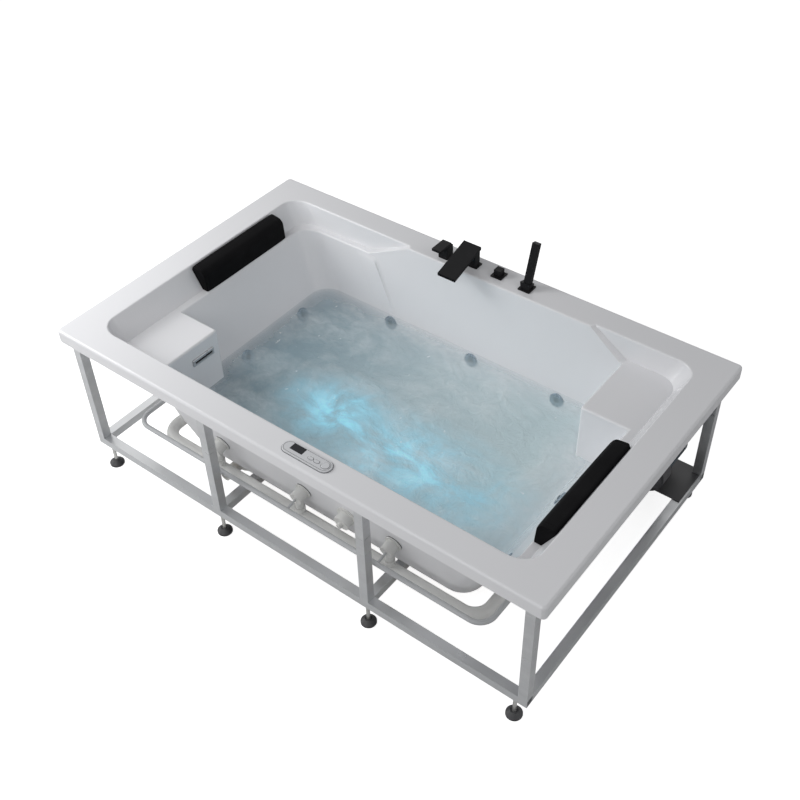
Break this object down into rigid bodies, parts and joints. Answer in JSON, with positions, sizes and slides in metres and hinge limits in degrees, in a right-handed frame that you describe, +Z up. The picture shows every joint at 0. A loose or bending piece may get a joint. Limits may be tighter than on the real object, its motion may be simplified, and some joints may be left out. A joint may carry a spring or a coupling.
{
  "type": "jetted bathtub",
  "caption": "Rectangular two-seat jetted bathtub with moulded backrests and ledges, black deck taps, waterfall spout, soaking pillows, control panel, pump and levelling frame.",
  "frame": {"origin": "centre of the footprint, on the floor under the feet", "axes": "+Z up; +X along the tub towards the end with the right-hand backrest; +Y towards the long side with the taps"},
  "size_m": [1.8, 1.1, 0.7346],
  "materials": {
    "acrylic": "glossy white acrylic",
    "board": "raw board",
    "frame_steel": "grey powder coat",
    "pad_rubber": "matte",
    "foot_plastic": "matte",
    "zinc": "zinc plated",
    "pipe_plastic": "white pipe",
    "air_plastic": "grey hose pipe",
    "fitting_plastic": "white moulded",
    "chrome": "polished",
    "nozzle": "polished",
    "gasket": "matte",
    "pump_wet_end": "matte",
    "pump_motor": "painted",
    "bracket": "painted",
    "lens": "frosted",
    "black_tap": "matte black",
    "brass": "raw",
    "panel": "silver grey",
    "display": "dark glass",
    "key": "silver grey",
    "foam": "soft black skin",
    "case": "matte"
  },
  "bodies": {
    "tub": {"tub_shell": "acrylic", "base_board": "board", "long_rails": "frame_steel", "cross_rails": "frame_steel", "posts": "frame_steel", "end_top_rails": "frame_steel", "rim_pads": "pad_rubber", "foot_pads": "foot_plastic", "foot_studs": "zinc", "foot_nuts": "zinc", "jet_faces": "chrome", "jet_gaskets": "gasket", "jet_bodies": "fitting_plastic", "pressure_manifold": "pipe_plastic", "air_manifold": "air_plastic", "suction_body": "fitting_plastic", "suction_cover": "chrome", "suction_pipe": "pipe_plastic", "pump_volute": "pump_wet_end", "pump_motor": "pump_motor", "pump_bracket": "bracket", "union_nuts": "pump_wet_end", "pump_outlet_pipe": "pipe_plastic", "light_ring": "chrome", "light_lens": "lens", "light_body": "fitting_plastic", "drain_flange": "chrome", "drain_tail": "fitting_plastic", "overflow_cover": "chrome", "overflow_body": "fitting_plastic", "overflow_pipe": "pipe_plastic", "mixer_body": "black_tap", "spout": "black_tap", "diverter_base": "black_tap", "handset_holder": "black_tap", "tap_washers": "gasket", "tap_backnuts": "brass", "panel_body": "panel", "panel_lens": "display", "control_box": "case"},
    "nozzle_back_1": {"jet_nozzle_back_1": "nozzle"},
    "nozzle_back_2": {"jet_nozzle_back_2": "nozzle"},
    "nozzle_back_3": {"jet_nozzle_back_3": "nozzle"},
    "nozzle_front_1": {"jet_nozzle_front_1": "nozzle"},
    "nozzle_front_2": {"jet_nozzle_front_2": "nozzle"},
    "nozzle_front_3": {"jet_nozzle_front_3": "nozzle"},
    "nozzle_left_1": {"jet_nozzle_left_1": "nozzle"},
    "nozzle_left_2": {"jet_nozzle_left_2": "nozzle"},
    "nozzle_right_1": {"jet_nozzle_right_1": "nozzle"},
    "nozzle_right_2": {"jet_nozzle_right_2": "nozzle"},
    "spindle": {"mixer_spindle": "brass"},
    "lever": {"mixer_lever": "black_tap"},
    "diverter": {"diverter_knob": "black_tap"},
    "handset": {"handset": "black_tap"},
    "plug": {"drain_plug": "chrome"},
    "key_pump": {"key_pump": "key"},
    "key_light": {"key_light": "key"},
    "key_power": {"key_power": "key"},
    "pillow_left": {"pillow_left": "foam"},
    "pillow_right": {"pillow_right": "foam"}
  },
  "joints": [
    {"name": "nozzle_back_1_tilt", "type": "hinge", "parent": "tub", "child": "nozzle_back_1", "pos_m": [-0.315, 0.3996, 0.26743], "axis": [1, 0, 0], "range_deg": [-15, 15]},
    {"name": "nozzle_back_2_tilt", "type": "hinge", "parent": "tub", "child": "nozzle_back_2", "pos_m": [0.03303, 0.3996, 0.26743], "axis": [1, 0, 0], "range_deg": [-15, 15]},
    {"name": "nozzle_back_3_tilt", "type": "hinge", "parent": "tub", "child": "nozzle_back_3", "pos_m": [0.37503, 0.3996, 0.26743], "axis": [1, 0, 0], "range_deg": [-15, 15]},
    {"name": "nozzle_front_1_tilt", "type": "hinge", "parent": "tub", "child": "nozzle_front_1", "pos_m": [0.315, -0.39706, 0.26719], "axis": [-1, 0, 0], "range_deg": [-15, 15]},
    {"name": "nozzle_front_2_tilt", "type": "hinge", "parent": "tub", "child": "nozzle_front_2", "pos_m": [-0.03303, -0.39706, 0.26719], "axis": [-1, 0, 0], "range_deg": [-15, 15]},
    {"name": "nozzle_front_3_tilt", "type": "hinge", "parent": "tub", "child": "nozzle_front_3", "pos_m": [-0.37503, -0.39706, 0.26719], "axis": [-1, 0, 0], "range_deg": [-15, 15]},
    {"name": "nozzle_left_1_tilt", "type": "hinge", "parent": "tub", "child": "nozzle_left_1", "pos_m": [-0.61164, 0.2519, 0.25833], "axis": [0, 1, 0], "range_deg": [-15, 15]},
    {"name": "nozzle_left_2_tilt", "type": "hinge", "parent": "tub", "child": "nozzle_left_2", "pos_m": [-0.61164, -0.03795, 0.25833], "axis": [0, 1, 0], "range_deg": [-15, 15]},
    {"name": "nozzle_right_1_tilt", "type": "hinge", "parent": "tub", "child": "nozzle_right_1", "pos_m": [0.61164, -0.2519, 0.25833], "axis": [0, -1, 0], "range_deg": [-15, 15]},
    {"name": "nozzle_right_2_tilt", "type": "hinge", "parent": "tub", "child": "nozzle_right_2", "pos_m": [0.61164, 0.03795, 0.25833], "axis": [0, -1, 0], "range_deg": [-15, 15]},
    {"name": "mixer_swivel", "type": "hinge", "parent": "tub", "child": "spindle", "pos_m": [-0.138, 0.482, 0.62], "axis": [0, 0, 1], "range_deg": [-38, 38]},
    {"name": "lever_lift", "type": "hinge", "parent": "spindle", "child": "lever", "pos_m": [-0.138, 0.487, 0.631], "axis": [-1, 0, 0], "range_deg": [0, 20]},
    {"name": "diverter_turn", "type": "hinge", "parent": "tub", "child": "diverter", "pos_m": [0.0665, 0.496, 0.59], "axis": [0, 0, 1], "range_deg": [0, 90]},
    {"name": "handset_pull", "type": "slide", "parent": "tub", "child": "handset", "axis": [0, 0.2756, 0.9613], "range_m": [0, 0.18]},
    {"name": "plug_lift", "type": "slide", "parent": "tub", "child": "plug", "axis": [0, 0, 1], "range_m": [0, 0.012]},
    {"name": "pump_press", "type": "slide", "parent": "tub", "child": "key_pump", "axis": [0, 0, -1], "range_m": [0, 0.001], "stiffness_N_per_m": 400, "springref_m": -0.0005},
    {"name": "light_press", "type": "slide", "parent": "tub", "child": "key_light", "axis": [0, 0, -1], "range_m": [0, 0.001], "stiffness_N_per_m": 400, "springref_m": -0.0005},
    {"name": "power_press", "type": "slide", "parent": "tub", "child": "key_power", "axis": [0, 0, -1], "range_m": [0, 0.001], "stiffness_N_per_m": 400, "springref_m": -0.0005},
    {"name": "pillow_left_lift", "type": "slide", "parent": "tub", "child": "pillow_left", "axis": [0, 0, 1], "range_m": [0, 0.15]},
    {"name": "pillow_right_lift", "type": "slide", "parent": "tub", "child": "pillow_right", "axis": [0, 0, 1], "range_m": [0, 0.15]}
  ]
}
